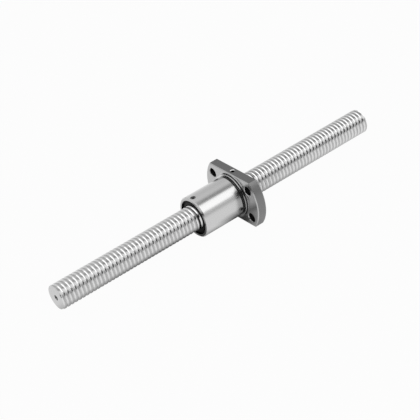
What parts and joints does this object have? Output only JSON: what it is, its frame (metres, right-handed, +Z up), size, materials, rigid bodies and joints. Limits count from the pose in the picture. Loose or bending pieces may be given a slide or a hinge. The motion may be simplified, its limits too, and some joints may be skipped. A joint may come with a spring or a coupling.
{
  "type": "ball screw",
  "caption": "Miniature ball screw: a straight shaft with a fine ball groove and a cylindrical flanged nut with two flats, four bolt holes and an oil hole.",
  "frame": {"origin": "on the screw's axis, in the face of the flange that the nut body stands on, with the nut where the picture shows it along the screw", "axes": "+X along the screw, from the nut body towards the flange; +Z up, square to one of the flange's two flats"},
  "size_m": [0.18, 0.037, 0.024],
  "materials": {
    "ground_thread_steel": "ground and polished hardened steel",
    "ground_nut_steel": "fine ground hardened steel",
    "black_acetal": "moulded black acetal, satin",
    "hardened_pin_steel": "ground hardened steel",
    "black_oxide_steel": "black oxide steel",
    "polished_ball_steel": "mirror polished bearing steel"
  },
  "bodies": {
    "screw": {"screw_shaft": "ground_thread_steel"},
    "wipers": {"front_wiper": "black_acetal", "rear_wiper": "black_acetal"},
    "nut": {"nut_body": "ground_nut_steel", "front_return_cap": "black_acetal", "rear_return_cap": "black_acetal", "front_cap_pin": "hardened_pin_steel", "rear_cap_pin": "hardened_pin_steel", "wiper_set_screws": "black_oxide_steel", "retaining_ring": "black_oxide_steel", "loaded_balls_turn_1": "polished_ball_steel", "loaded_balls_turn_2": "polished_ball_steel", "loaded_balls_turn_3": "polished_ball_steel", "loaded_balls_turn_4": "polished_ball_steel", "loaded_balls_turn_5": "polished_ball_steel", "loaded_balls_turn_6": "polished_ball_steel", "loaded_balls_turn_7": "polished_ball_steel", "loaded_balls_turn_8": "polished_ball_steel", "front_bend_balls": "polished_ball_steel", "rear_bend_balls": "polished_ball_steel", "return_balls": "polished_ball_steel"}
  },
  "joints": [
    {"name": "nut_travel", "type": "slide", "parent": "screw", "child": "wipers", "axis": [1, 0, 0], "range_m": [-0.074, 0.074]},
    {"name": "nut_spin", "type": "hinge", "parent": "wipers", "child": "nut", "pos_m": [0, 0, 0], "axis": [1, 0, 0], "range_deg": [-13320, 13320]}
  ],
  "couplings": [
    {"joint": "nut_travel", "follows": "nut_spin", "m_per_rad": 0.00031831}
  ]
}
